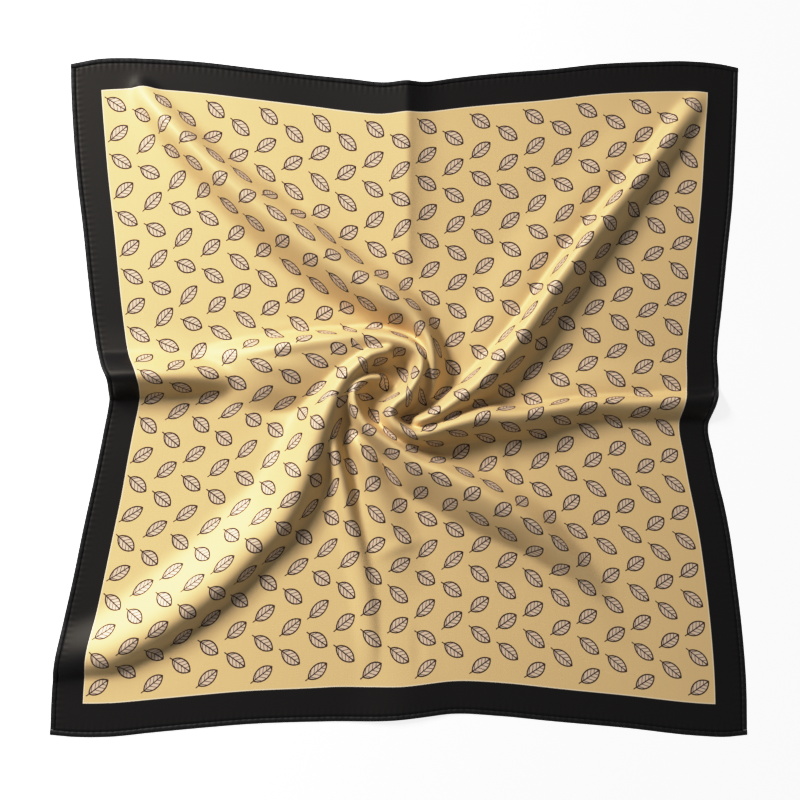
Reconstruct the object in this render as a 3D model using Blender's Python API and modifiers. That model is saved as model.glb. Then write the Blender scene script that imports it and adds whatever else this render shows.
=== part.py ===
"""A square satin scarf laid flat, pinched and turned once at its middle into a whirl of folds.

The scarf is one printed square of cloth and four narrow rolled hems. Every length in the
tables is in millimetres. The origin is the middle of the scarf's outline, on the surface
that it lies on, with +Y towards its back edge and +Z up.
"""

import math
from typing import NamedTuple

import bmesh
import bpy
import numpy as np

MM = 0.001

# Driving dimensions, in millimetres.
FINISHED_SIDE = 690.0
CLOTH_THICKNESS = 1.2
HEM_WIDTH = 5.0
HEM_HEIGHT = 2.4
SEAM_GAP = 0.3

# How finely the cloth is divided, how much closer its rows lie at the whirl than at the hems,
# and the share of its faces that is kept where it thins out.
CLOTH_CELLS = 192
MIDDLE_CROWDING = 0.40
KEPT_SHARE = 0.066
# A hem has a section at every second row, and the valleys are softened this many times.
HEM_STRIDE = 2
VALLEY_PASSES = 11

# The tube of a hem is joined along its length where its points meet within this, in metres.
HEM_MERGE = 0.00001
# The hem's oval: how far across its width and up its height each corner of a section lies.
HEM_OVAL = ((0.0, 0.5), (0.22, 0.0), (0.78, 0.0), (1.0, 0.5), (0.76, 1.0), (0.24, 1.0))

GOLD_SATIN = ("gold satin", (0.78, 0.62, 0.33, 1.0), 0.38)
BLACK_SATIN = ("black satin", (0.012, 0.011, 0.012, 1.0), 0.42)


class Corner(NamedTuple):
    """Where one corner of the hemmed square lies."""

    x: float
    y: float


class EdgeRow(NamedTuple):
    """How far an edge is pulled in at one place along the straight line between its corners."""

    along: float
    dent: float


class FoldRow(NamedTuple):
    """One place on a fold's crest, heading for the whirl, with the fold's section there.

    Attributes:
        x, y: the crest's place.
        height: the crest's height over the surface.
        left, right: the flanks' widths on the left and right of the way to the whirl.
    """

    x: float
    y: float
    height: float
    left: float
    right: float


class Fold(NamedTuple):
    """One raised fold: its crest, and how its flanks run out.

    Attributes:
        rows: the crest's rows, from the outer end to the whirl.
        left_tail, right_tail: near 1 for a flank that ends in a crease, 2 and more for one
            that runs out softly.
        crest: 2 for a round crest, 1 for one that is pressed to a sharp line.
    """

    rows: tuple
    left_tail: float
    right_tail: float
    crest: float = 2.0


BACK_LEFT = Corner(-336.5, 335.2)
BACK_RIGHT = Corner(344.0, 331.1)
FRONT_LEFT = Corner(-344.0, -339.3)
FRONT_RIGHT = Corner(339.5, -339.3)

# From the left corner to the right one.
BACK_EDGE = (
    EdgeRow(0, 0.0),
    EdgeRow(30, -5.7),
    EdgeRow(55, -6.6),
    EdgeRow(81, -6.0),
    EdgeRow(132, -2.9),
    EdgeRow(183, 3.0),
    EdgeRow(234, 9.1),
    EdgeRow(285, 14.8),
    EdgeRow(325, 19.0),
    EdgeRow(338, 17.6),
    EdgeRow(361, 17.4),
    EdgeRow(387, 13.2),
    EdgeRow(438, 6.9),
    EdgeRow(489, 2.6),
    EdgeRow(540, -3.3),
    EdgeRow(591, -5.9),
    EdgeRow(630, -6.6),
    EdgeRow(667, -3.0),
    EdgeRow(680.5, 0.0),
)
FRONT_EDGE = (
    EdgeRow(0, 0.0),
    EdgeRow(24, -2.0),
    EdgeRow(60, -1.8),
    EdgeRow(98, 2.0),
    EdgeRow(147, 6.6),
    EdgeRow(196, 10.5),
    EdgeRow(270, 13.0),
    EdgeRow(343, 14.4),
    EdgeRow(368, 17.3),
    EdgeRow(392, 20.2),
    EdgeRow(441, 18.2),
    EdgeRow(490, 13.4),
    EdgeRow(564, 6.8),
    EdgeRow(637, -1.0),
    EdgeRow(662, -2.0),
    EdgeRow(683.5, 0.0),
)
# From the back corner to the front one.
LEFT_EDGE = (
    EdgeRow(0, 0.0),
    EdgeRow(17, 0.6),
    EdgeRow(69, 4.5),
    EdgeRow(120, 10.0),
    EdgeRow(172, 17.6),
    EdgeRow(223, 24.2),
    EdgeRow(274, 31.7),
    EdgeRow(299, 37.0),
    EdgeRow(314, 43.7),
    EdgeRow(326, 49.8),
    EdgeRow(339, 49.6),
    EdgeRow(374, 44.4),
    EdgeRow(424, 35.8),
    EdgeRow(474, 26.4),
    EdgeRow(523, 17.9),
    EdgeRow(572, 8.6),
    EdgeRow(621, 1.3),
    EdgeRow(674.5, 0.0),
)
RIGHT_EDGE = (
    EdgeRow(0, 0.0),
    EdgeRow(39, 1.5),
    EdgeRow(90, 4.3),
    EdgeRow(142, 7.9),
    EdgeRow(193, 13.7),
    EdgeRow(245, 19.4),
    EdgeRow(295, 24.8),
    EdgeRow(331, 24.6),
    EdgeRow(346, 28.6),
    EdgeRow(366, 34.8),
    EdgeRow(396, 30.1),
    EdgeRow(421, 25.5),
    EdgeRow(445, 19.8),
    EdgeRow(470, 15.1),
    EdgeRow(519, 8.8),
    EdgeRow(568, 3.6),
    EdgeRow(617, 0.3),
    EdgeRow(670.4, 0.0),
)

# Folds, each from its outer end to the whirl.
BACK_LEFT_FOLD = Fold(
    left_tail=2.2,
    right_tail=2.3,
    crest=1.3,
    rows=(
        FoldRow(-269, 318, 0, 12, 8),
        FoldRow(-260, 301, 9, 16, 12),
        FoldRow(-239, 275, 21, 20, 17),
        FoldRow(-192, 226, 29, 24, 23),
        FoldRow(-145, 184, 33, 29, 30),
        FoldRow(-99, 148, 34, 32, 34),
        FoldRow(-56, 116, 34, 30, 34),
        FoldRow(-11, 88, 33, 26, 27),
        FoldRow(11, 72, 30, 23, 18),
        FoldRow(24, 54, 29, 19, 12),
        FoldRow(30, 36, 29, 16, 11),
        FoldRow(32, 20, 25, 14, 10),
        FoldRow(32, 5, 17, 12, 10),
        FoldRow(30, -7, 10, 10, 9),
    ),
)
BACK_RIGHT_FOLD = Fold(
    left_tail=1.6,
    right_tail=1.5,
    rows=(
        FoldRow(304, 302, 0, 12, 10),
        FoldRow(292, 285, 9, 16, 12),
        FoldRow(247, 225, 18, 19, 12),
        FoldRow(196, 161, 24.5, 23, 13),
        FoldRow(148, 96, 27.5, 25, 13),
        FoldRow(122, 58, 29, 25, 14),
        FoldRow(98, 29, 30, 24, 15),
        FoldRow(76, 4, 31, 20, 15),
        FoldRow(53, -14, 31, 15, 14),
        FoldRow(34, -27, 30, 11, 12),
        FoldRow(18, -33, 27, 9, 10),
    ),
)
# Passes the whirl's front, turns back through its middle and runs out to the left.
THROUGH_FOLD = Fold(
    left_tail=1.15,
    right_tail=1.8,
    rows=(
        FoldRow(356, -10, 15, 22, 16),
        FoldRow(288, -10, 16, 20, 11),
        FoldRow(241, -12, 18, 19, 8),
        FoldRow(194, -13.5, 20, 18, 8),
        FoldRow(147, -20, 25, 21, 9),
        FoldRow(123, -25, 29, 23, 10),
        FoldRow(104, -27, 31, 23, 14),
        FoldRow(86, -27, 32, 22, 15),
        FoldRow(68, -32, 32, 18, 16),
        FoldRow(47, -38, 31, 15, 14),
        FoldRow(29, -44, 31, 14, 12),
        FoldRow(14, -46, 31, 13, 11),
        FoldRow(1, -41, 31, 12, 11),
        FoldRow(-7, -34, 31, 12, 11),
        FoldRow(-10, -26, 30, 12, 11),
        FoldRow(-5, -17, 30, 12, 12),
        FoldRow(5, -9, 30, 12, 13),
        FoldRow(13, 2, 31, 12, 13),
        FoldRow(19, 14, 31, 12, 12),
        FoldRow(21, 26, 31, 12, 11),
        FoldRow(18, 36, 31, 12, 10),
        FoldRow(10, 43, 30, 13, 10),
        FoldRow(-1, 48, 28, 15, 10),
        FoldRow(-16, 52, 25, 18, 11),
        FoldRow(-34, 53, 24, 28, 12),
        FoldRow(-58, 50, 25, 46, 13),
        FoldRow(-80, 48, 24, 57, 14),
        FoldRow(-101, 45, 23, 63, 15),
        FoldRow(-137, 39, 18, 62, 16),
        FoldRow(-170, 35, 8, 48, 16),
        FoldRow(-205, 31, 0, 34, 16),
    ),
)
LEFT_FOLD = Fold(
    left_tail=1.8,
    right_tail=1.3,
    rows=(
        FoldRow(-345, 12, 22, 27, 20),
        FoldRow(-290, 12, 26.5, 27, 20),
        FoldRow(-259, 13, 28.5, 26, 20),
        FoldRow(-231, 13, 27.5, 24, 20),
        FoldRow(-201, 13, 21, 21, 19),
        FoldRow(-176, 12, 12, 19, 18),
        FoldRow(-152, 10, 0, 16, 16),
    ),
)
FRONT_LEFT_FOLD = Fold(
    left_tail=2.5,
    right_tail=1.3,
    rows=(
        FoldRow(-346, -274, 5, 38, 15),
        FoldRow(-314, -267, 11, 46, 17),
        FoldRow(-286, -262, 15.5, 50, 18),
        FoldRow(-259, -249, 17.5, 54, 19),
        FoldRow(-227, -230, 19.5, 58, 20),
        FoldRow(-198, -209, 20, 60, 20),
        FoldRow(-169, -185, 20, 60, 19),
        FoldRow(-144, -159, 20, 60, 19),
        FoldRow(-121, -136, 22, 56, 19),
        FoldRow(-106, -112, 24, 52, 20),
        FoldRow(-95, -87, 26, 48, 20),
        FoldRow(-85, -60, 28, 42, 20),
        FoldRow(-77, -35, 31, 34, 20),
        FoldRow(-67, -10, 31, 27, 19),
        FoldRow(-56, 9, 32, 20, 17),
        FoldRow(-43, 22, 32, 16, 14),
        FoldRow(-29, 33, 31, 13, 13),
        FoldRow(-13, 38, 28, 10, 12),
    ),
)
FRONT_RIGHT_FOLD = Fold(
    left_tail=1.2,
    right_tail=2.0,
    crest=1.5,
    rows=(
        FoldRow(204, -204, 0, 12, 12),
        FoldRow(188, -188, 7, 13, 14),
        FoldRow(169, -170, 15, 17, 18),
        FoldRow(149, -152, 23, 23, 23),
        FoldRow(129, -135, 29, 28, 27),
        FoldRow(108, -121, 33, 33, 29),
        FoldRow(85, -107, 35.5, 36, 28),
        FoldRow(62, -94, 35.5, 37, 24),
        FoldRow(42, -84, 34, 35, 20),
        FoldRow(16, -73, 31, 31, 17),
        FoldRow(-6, -58, 30, 20, 15),
        FoldRow(-22, -47, 30, 16, 13),
        FoldRow(-34, -37, 30, 14, 12),
        FoldRow(-42, -24, 30, 12, 11),
        FoldRow(-46, -11, 29, 12, 11),
        FoldRow(-43, 2, 28, 12, 10),
        FoldRow(-33, 9, 25, 11, 10),
        FoldRow(-21, 10, 21, 10, 10),
    ),
)
FRONT_NARROW_FOLD = Fold(
    left_tail=1.8,
    right_tail=1.4,
    rows=(
        FoldRow(-26, -290, 0, 18, 10),
        FoldRow(-28, -267, 2.0, 18, 10),
        FoldRow(-32, -223, 4, 18, 10),
        FoldRow(-38, -182, 6, 17, 10),
        FoldRow(-44, -154, 8.5, 16, 10),
        FoldRow(-52, -125, 12, 15, 11),
        FoldRow(-60, -84, 17, 12, 11),
        FoldRow(-64, -66, 20, 11, 10),
        FoldRow(-67, -46, 18, 10, 10),
        FoldRow(-69, -30, 12, 9, 9),
    ),
)
FRONT_SOFT_FOLD = Fold(
    left_tail=2.0,
    right_tail=2.0,
    rows=(
        FoldRow(4, -186, 0, 32, 30),
        FoldRow(-9, -137, 7, 28, 28),
        FoldRow(-26, -92, 14, 18, 24),
        FoldRow(-35, -69, 18, 14, 21),
        FoldRow(-43, -54, 16, 12, 16),
        FoldRow(-49, -41, 8, 12, 10),
    ),
)
FRONT_EDGE_RISE = Fold(
    left_tail=3.0,
    right_tail=3.0,
    rows=(
        FoldRow(0, -360, 5.0, 70, 74),
        FoldRow(0, -325, 4.4, 66, 70),
        FoldRow(-1, -290, 2.6, 56, 60),
        FoldRow(-2, -236, 0, 46, 50),
    ),
)
# The crease that the scarf's folded package left, standing up a little at the back edge.
PACKAGE_CREASE = Fold(
    left_tail=3.0,
    right_tail=2.0,
    crest=1.0,
    rows=(
        FoldRow(8, 350, 9.5, 46, 120),
        FoldRow(8, 312, 9.5, 46, 120),
        FoldRow(8, 250, 9.0, 46, 112),
        FoldRow(8, 180, 7.8, 42, 94),
        FoldRow(8, 125, 4.2, 30, 56),
        FoldRow(8, 104, 0, 22, 30),
    ),
)
FOLDS = (
    BACK_LEFT_FOLD,
    BACK_RIGHT_FOLD,
    THROUGH_FOLD,
    LEFT_FOLD,
    FRONT_LEFT_FOLD,
    FRONT_RIGHT_FOLD,
    FRONT_NARROW_FOLD,
    FRONT_SOFT_FOLD,
    FRONT_EDGE_RISE,
    PACKAGE_CREASE,
)

# Where folds meet, the higher one wins, the more sharply the greater this power.
MEETING_POWER = 5.0
CREST_STEP = 3.0

# The cloth starts to rise before a fold's foot, over this many times the flank's width.
SKIRT_REACH = 2.4
SKIRT_SHARE = 0.15
SKIRT_TAIL = 3.0

# The cloth stands off the surface all round the whirl, in a low mound.
WHIRL_X, WHIRL_Y = -4.0, 2.0
MOUND_HEIGHT = 7.0
MOUND_RADIUS = 120.0


def smooth_through(knots, values, at):
    """Return the smooth curve through rows of values, read at the given places.

    Args:
        knots: the rows' rising places, shape (n,).
        values: the rows, shape (n, columns).
        at: the places to read, shape (m,).
    """
    knots = np.asarray(knots, float)
    values = np.asarray(values, float)
    slopes = np.gradient(values, knots, axis=0)
    i = np.clip(np.searchsorted(knots, at, side="right") - 1, 0, len(knots) - 2)
    span = (knots[i + 1] - knots[i])[:, None]
    t = (np.asarray(at, float) - knots[i])[:, None] / span
    return (
        (2 * t**3 - 3 * t**2 + 1) * values[i]
        + (t**3 - 2 * t**2 + t) * span * slopes[i]
        + (3 * t**2 - 2 * t**3) * values[i + 1]
        + (t**3 - t**2) * span * slopes[i + 1]
    )


def edge_points(start, end, rows, inward, fraction):
    """Return the outline's places at fractions of the way along one edge."""
    start, end = np.array(start), np.array(end)
    length = np.linalg.norm(end - start)
    along = np.clip(fraction, 0.0, 1.0) * length
    dent = smooth_through([r.along for r in rows], [[r.dent] for r in rows], along)
    straight = (end - start) / length
    normal = np.array((-straight[1], straight[0])) * inward
    return start + along[:, None] * straight + dent * normal


def plan_points(u, v):
    """Return where the cloth lies in plan, blended between its four edges.

    Args:
        u: the way from the left edge, 0, to the right one, 1.
        v: the way from the front edge, 0, to the back one, 1.
    """
    u, v = np.broadcast_arrays(np.asarray(u, float), np.asarray(v, float))
    shape = u.shape
    u, v = u.ravel(), v.ravel()
    back = edge_points(BACK_LEFT, BACK_RIGHT, BACK_EDGE, -1, u)
    front = edge_points(FRONT_LEFT, FRONT_RIGHT, FRONT_EDGE, 1, u)
    left = edge_points(BACK_LEFT, FRONT_LEFT, LEFT_EDGE, 1, 1 - v)
    right = edge_points(BACK_RIGHT, FRONT_RIGHT, RIGHT_EDGE, -1, 1 - v)
    u, v = u[:, None], v[:, None]
    corners = (
        (1 - u) * (1 - v) * np.array(FRONT_LEFT)
        + u * (1 - v) * np.array(FRONT_RIGHT)
        + (1 - u) * v * np.array(BACK_LEFT)
        + u * v * np.array(BACK_RIGHT)
    )
    blend = (1 - v) * front + v * back + (1 - u) * left + u * right - corners
    return blend[:, 0].reshape(shape), blend[:, 1].reshape(shape)


def fold_height(fold, x, y):
    """Return how high one fold lifts the cloth at each place in plan."""
    table = np.array(fold.rows, float)
    steps = np.linalg.norm(np.diff(table[:, :2], axis=0), axis=1)
    knots = np.concatenate(([0.0], np.cumsum(steps)))
    places = np.linspace(0.0, knots[-1], int(knots[-1] / CREST_STEP) + 2)
    crest = smooth_through(knots, table, places)
    reach = crest[:, 3:].max() * SKIRT_REACH + CREST_STEP
    lift = np.zeros_like(x)
    for near, far in zip(crest[:-1], crest[1:]):
        run = far[:2] - near[:2]
        close = (abs(x - near[0]) < reach) & (abs(y - near[1]) < reach)
        dx, dy = x[close] - near[0], y[close] - near[1]
        t = np.clip((dx * run[0] + dy * run[1]) / (run @ run), 0.0, 1.0)
        away = np.hypot(dx - t * run[0], dy - t * run[1])
        side = (run[0] * dy - run[1] * dx) / (np.linalg.norm(run) * np.maximum(away, 1e-6))
        height, left, right = (near[2:] + (far - near)[2:] * t[:, None]).T
        share = (1 + np.clip(side, -1, 1)) / 2
        width = right + (left - right) * share
        tail = fold.right_tail + (fold.left_tail - fold.right_tail) * share
        flank = np.maximum(1 - (away / width) ** fold.crest, 0.0) ** tail
        skirt = np.maximum(1 - (away / (SKIRT_REACH * width)) ** 2, 0.0) ** SKIRT_TAIL
        profile = (1 - SKIRT_SHARE) * flank + SKIRT_SHARE * skirt
        lift[close] = np.maximum(lift[close], np.maximum(height, 0) * profile)
    return lift


def cloth_height(x, y):
    """Return how high the cloth's underside lies at each place in plan."""
    total = sum(fold_height(fold, x, y) ** MEETING_POWER for fold in FOLDS)
    out = np.hypot(x - WHIRL_X, y - WHIRL_Y) / MOUND_RADIUS
    mound = MOUND_HEIGHT * np.cos(math.pi / 2 * np.minimum(out, 1.0)) ** 2
    return total ** (1 / MEETING_POWER) + mound


def cloth_points(u, v):
    """Return the underside of the cloth, in metres, for arrays of u and v."""
    x, y = plan_points(u, v)
    return np.stack((x, y, cloth_height(x, y)), axis=-1) * MM


def cloth_rows():
    """Return the places from 0 to 1 of the cloth's rows, closest together at the whirl."""
    even = np.linspace(0.0, 1.0, CLOTH_CELLS + 1)
    return even + MIDDLE_CROWDING * np.sin(2 * math.pi * even) / (2 * math.pi)


def across(rows):
    """Return the panel's rows, set in from the outline by the hem and the seam's gap."""
    inset = (HEM_WIDTH + SEAM_GAP) / FINISHED_SIDE
    return inset + (1 - 2 * inset) * rows


def satin(finish):
    """Return the satin of a finish, a name with a base colour and a roughness."""
    name, colour, roughness = finish
    material = bpy.data.materials.new(name)
    material.use_nodes = True
    shader = material.node_tree.nodes["Principled BSDF"]
    shader.inputs["Base Color"].default_value = colour
    shader.inputs["Roughness"].default_value = roughness
    shader.inputs["Metallic"].default_value = 0.0
    return material


def add_piece(name, bm, collection, finish):
    """Make an object of a bmesh, shaded smooth, with its satin."""
    mesh = bpy.data.meshes.new(name)
    bm.to_mesh(mesh)
    bm.free()
    mesh.materials.append(satin(finish))
    mesh.shade_smooth()
    piece = bpy.data.objects.new(name, mesh)
    collection.objects.link(piece)
    return piece


def add_panel(collection):
    """Add the scarf's one square of cloth: a grid laid over the folds, given its thickness."""
    bm = bmesh.new()
    bmesh.ops.create_grid(bm, x_segments=CLOTH_CELLS, y_segments=CLOTH_CELLS, size=0.5)
    bm.verts.ensure_lookup_table()
    flat = np.array([vert.co for vert in bm.verts])
    even = np.linspace(0.0, 1.0, CLOTH_CELLS + 1)
    rows = across(cloth_rows())
    u = np.interp(flat[:, 0] + 0.5, even, rows)
    v = np.interp(flat[:, 1] + 0.5, even, rows)
    for vert, place in zip(bm.verts, cloth_points(u, v)):
        vert.co = place
    cell = np.round((flat[:, 0] + flat[:, 1] + 1.0) * CLOTH_CELLS)
    spare = [v for v, count in zip(bm.verts, cell) if v.is_boundary and count % HEM_STRIDE]
    bmesh.ops.dissolve_verts(bm, verts=spare)
    bm.verts.index_update()
    edge = [vert.index for vert in bm.verts if vert.is_boundary]
    inner = [vert.index for vert in bm.verts if not vert.is_boundary]
    panel = add_piece("square_cloth_panel", bm, collection, GOLD_SATIN)
    group = panel.vertex_groups.new(name="inside the edge")
    group.add(inner, 1.0, "REPLACE")
    group.add(edge, 0.0, "REPLACE")
    soften = panel.modifiers.new("Soft valleys", "SMOOTH")
    soften.iterations = VALLEY_PASSES
    soften.use_x = False
    soften.use_y = False
    soften.vertex_group = group.name
    thin_out = panel.modifiers.new("Fewer faces on flat cloth", "DECIMATE")
    thin_out.ratio = KEPT_SHARE
    thin_out.vertex_group = group.name
    thick = panel.modifiers.new("Cloth thickness", "SOLIDIFY")
    thick.thickness = CLOTH_THICKNESS * MM
    thick.offset = 1.0
    return panel


def add_hem(name, place, ends, collection):
    """Add one rolled hem: a flat oval tube along an edge.

    Args:
        name: the object's name.
        place: a function from the fractions along the edge and in from the outline to u and v.
        ends: the fractions of the edge where the hem starts and stops.
        collection: the collection that it goes in.
    """
    rows = across(cloth_rows())[::HEM_STRIDE]
    along = np.concatenate(([ends[0]], rows[1:-1], [ends[1]]))
    outer = cloth_points(*place(along, np.zeros_like(along)))
    inner = cloth_points(*place(along, np.full_like(along, HEM_WIDTH / FINISHED_SIDE)))
    over = inner - outer
    run = np.gradient(outer, axis=0)
    up = np.cross(run, over)
    up *= np.sign(up[:, 2:]) / np.linalg.norm(up, axis=1)[:, None]
    corners = np.array(
        [outer + over * way + up * HEM_HEIGHT * MM * rise for way, rise in HEM_OVAL]
    )
    bm = bmesh.new()
    bmesh.ops.create_grid(bm, x_segments=len(along) - 1, y_segments=len(HEM_OVAL), size=0.5)
    for vert in bm.verts:
        station = round((vert.co.x + 0.5) * (len(along) - 1))
        corner = round((vert.co.y + 0.5) * len(HEM_OVAL)) % len(HEM_OVAL)
        vert.co = corners[corner, station]
    bmesh.ops.remove_doubles(bm, verts=bm.verts, dist=HEM_MERGE)
    bmesh.ops.holes_fill(bm, edges=bm.edges, sides=len(HEM_OVAL))
    bmesh.ops.recalc_face_normals(bm, faces=bm.faces)
    return add_piece(name, bm, collection, BLACK_SATIN)


def clear_scene():
    """Remove what the scene starts with."""
    for thing in list(bpy.data.objects):
        bpy.data.objects.remove(thing, do_unlink=True)


def main():
    """Build the scarf: the panel, and the four hems round it."""
    clear_scene()
    collection = bpy.data.collections.new("Square scarf")
    bpy.context.scene.collection.children.link(collection)
    add_panel(collection)
    inset = (HEM_WIDTH + SEAM_GAP) / FINISHED_SIDE
    add_hem("hem_back", lambda t, d: (t, 1 - d), (0.0, 1.0), collection)
    add_hem("hem_front", lambda t, d: (t, d), (0.0, 1.0), collection)
    add_hem("hem_left", lambda t, d: (d, t), (inset, 1 - inset), collection)
    add_hem("hem_right", lambda t, d: (1 - d, t), (inset, 1 - inset), collection)


if __name__ == "__main__":
    main()
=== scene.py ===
"""A square satin scarf, laid flat and turned once at its middle into a whirl of folds.

The scarf is one printed square of satin, four rolled hems and the stitches that hold them.
The cloth is a thin sheet that lies on a surface of folds. Its threads slide over that surface
towards their woven lengths, as near as the folds allow, so the print bends and narrows as the
cloth does. Lengths in the tables are in millimetres, in the frame's own axes: +Y is the
scarf's back edge, +Z is up, and the origin is the middle of its outline on the floor.
"""

import logging
import math
from collections.abc import Callable, Iterable, Sequence
from dataclasses import dataclass, field
from enum import Enum
from functools import partialmethod
from typing import Any, NamedTuple

import bmesh
import bpy
import numpy as np
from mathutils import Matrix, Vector


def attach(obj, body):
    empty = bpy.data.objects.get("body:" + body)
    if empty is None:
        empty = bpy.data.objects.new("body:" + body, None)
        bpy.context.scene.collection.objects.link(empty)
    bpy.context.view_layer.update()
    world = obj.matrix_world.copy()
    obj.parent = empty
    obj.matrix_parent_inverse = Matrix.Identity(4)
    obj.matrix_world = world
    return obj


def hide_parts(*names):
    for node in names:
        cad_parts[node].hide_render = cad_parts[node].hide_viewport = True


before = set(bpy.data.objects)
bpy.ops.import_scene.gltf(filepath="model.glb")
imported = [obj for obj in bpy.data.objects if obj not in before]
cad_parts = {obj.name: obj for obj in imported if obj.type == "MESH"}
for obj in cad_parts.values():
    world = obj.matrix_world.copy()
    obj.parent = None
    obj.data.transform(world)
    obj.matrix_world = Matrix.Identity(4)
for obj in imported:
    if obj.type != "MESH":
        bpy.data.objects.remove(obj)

LOG = logging.getLogger("square scarf")
MM = 0.001
BODY = "root"
UV_LAYER = "cloth"
TINY = 1e-6

# The numbers of sockets and curves that can't be told apart by name.
MIX_FIRST, MIX_SECOND, MIX_RESULT = 6, 7, 2
RANDOM_LEAST, RANDOM_MOST, RANDOM_VALUE = 2, 3, 1
ALL_CHANNELS = 3

Array = np.ndarray
Colour = tuple[float, float, float, float]
Socket = bpy.types.NodeSocket
# What inputs are fed, by their names or numbers.
Fed = dict[Any, Any]

# The scarf's own sizes, in millimetres.
FINISHED_SIDE = 690.0
HEM_WIDTH = 5.0
HEM_HEIGHT = 1.5
STITCH_SPACING = 6.0


# ---- Tables: the outline and the folds ----


class Corner(NamedTuple):
    """Where one corner of the hemmed square lies."""

    x: float
    y: float


class EdgeRow(NamedTuple):
    """How far an edge is pulled in at one place along the straight line between its corners."""

    along: float
    dent: float


class FoldRow(NamedTuple):
    """One place on a fold's crest, heading for the whirl, with the fold's section there.

    Attributes:
        x: the crest's place.
        y: the crest's place.
        height: the crest's height over the surface.
        left: the left flank's width, seen on the way to the whirl.
        right: the right flank's width.
    """

    x: float
    y: float
    height: float
    left: float
    right: float


class Fold(NamedTuple):
    """One raised fold or one soft crease.

    Attributes:
        rows: the crest's rows, from the outer end to the whirl.
        left_tail: near 1 for a left flank that ends in a crease, 2 and more for one that
            runs out softly.
        right_tail: the same on the right.
        crest: 2 for a round crest, 1 for one that is pressed to a sharp line.
    """

    rows: tuple[FoldRow, ...]
    left_tail: float
    right_tail: float
    crest: float


def edge_of(*rows: tuple[float, float]) -> tuple[EdgeRow, ...]:
    """Return an edge's table from rows of along and dent."""
    return tuple(EdgeRow(*row) for row in rows)


def fold_of(
    *rows: tuple[float, float, float, float, float],
    tails: tuple[float, float],
    crest: float = 2.0,
) -> Fold:
    """Return a fold from rows of x, y, height, left and right, and its two tails."""
    return Fold(tuple(FoldRow(*row) for row in rows), *tails, crest)


BACK_LEFT = Corner(-336.5, 335.2)
BACK_RIGHT = Corner(344.0, 331.1)
FRONT_LEFT = Corner(-344.0, -339.3)
FRONT_RIGHT = Corner(339.5, -339.3)

# From the left corner to the right one.
BACK_EDGE = edge_of(
    (0, 0.0), (30, -5.7), (55, -6.6), (81, -6.0), (132, -2.9), (183, 3.0), (234, 9.1),
    (285, 14.8), (325, 19.0), (338, 17.6), (361, 17.4), (387, 13.2), (438, 6.9), (489, 2.6),
    (540, -3.3), (591, -5.9), (630, -6.6), (667, -3.0), (680.5, 0.0),
)
FRONT_EDGE = edge_of(
    (0, 0.0), (24, -2.0), (60, -1.8), (98, 2.0), (147, 6.6), (196, 10.5), (270, 13.0),
    (343, 14.4), (368, 17.3), (392, 20.2), (441, 18.2), (490, 13.4), (564, 6.8), (637, -1.0),
    (662, -2.0), (683.5, 0.0),
)
# From the back corner to the front one.
LEFT_EDGE = edge_of(
    (0, 0.0), (17, 0.6), (69, 4.5), (120, 10.0), (172, 17.6), (223, 24.2), (274, 31.7),
    (299, 37.0), (314, 43.7), (326, 49.8), (339, 49.6), (374, 44.4), (424, 35.8), (474, 26.4),
    (523, 17.9), (572, 8.6), (621, 1.3), (674.5, 0.0),
)
RIGHT_EDGE = edge_of(
    (0, 0.0), (39, 1.5), (90, 4.3), (142, 7.9), (193, 13.7), (245, 19.4), (295, 24.8),
    (331, 24.6), (346, 28.6), (366, 34.8), (396, 30.1), (421, 25.5), (445, 19.8), (470, 15.1),
    (519, 8.8), (568, 3.6), (617, 0.3), (670.4, 0.0),
)

# Folds, each from its outer end to the whirl.
BACK_LEFT_FOLD = fold_of(
    (-269, 318, 0, 12, 9), (-260, 301, 11, 17, 14), (-239, 275, 22, 21, 19),
    (-192, 226, 31, 25, 25), (-145, 184, 35, 31, 32), (-99, 148, 36, 34, 36),
    (-56, 116, 36, 31, 35), (-11, 88, 35, 27, 28), (11, 72, 31, 23, 18), (24, 54, 30, 19, 12),
    (30, 36, 30, 16, 11), (32, 20, 26, 14, 10), (32, 5, 18, 12, 10), (30, -7, 11, 10, 9),
    tails=(2.2, 2.3), crest=1.9,
)
BACK_RIGHT_FOLD = fold_of(
    (304, 302, 0, 12, 10), (292, 285, 9, 16, 12), (247, 225, 18, 19, 12),
    (196, 161, 24.5, 23, 13), (148, 96, 27.5, 25, 13), (122, 58, 29, 25, 14),
    (98, 29, 30, 24, 15), (76, 4, 31, 20, 15), (53, -14, 31, 15, 14), (34, -27, 30, 11, 12),
    (18, -33, 27, 9, 10),
    tails=(1.6, 1.5),
)
# Passes the whirl's front, turns back through its middle and runs out to the left.
THROUGH_FOLD = fold_of(
    (356, -10, 15, 22, 16), (288, -10, 16, 20, 11), (241, -12, 18, 19, 8),
    (194, -13.5, 20, 18, 8), (147, -20, 25, 21, 9), (123, -25, 29, 23, 10),
    (104, -27, 31, 23, 14), (86, -27, 32, 22, 15), (68, -32, 32, 18, 16),
    (47, -38, 31, 15, 14), (29, -44, 31, 14, 12), (14, -46, 31, 13, 11), (1, -41, 31, 12, 11),
    (-7, -34, 31, 12, 11), (-10, -26, 30, 12, 11), (-5, -17, 30, 12, 12), (5, -9, 30, 12, 13),
    (13, 2, 31, 12, 13), (19, 14, 31, 12, 12), (21, 26, 31, 12, 11), (18, 36, 31, 12, 10),
    (10, 43, 30, 13, 10), (-1, 48, 28, 15, 10), (-16, 52, 25, 18, 11), (-34, 53, 24, 28, 12),
    (-58, 50, 25, 46, 13), (-80, 48, 24, 57, 14), (-101, 45, 23, 63, 15),
    (-137, 39, 18, 62, 16), (-170, 35, 8, 48, 16), (-205, 31, 0, 34, 16),
    tails=(1.15, 1.8),
)
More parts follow.
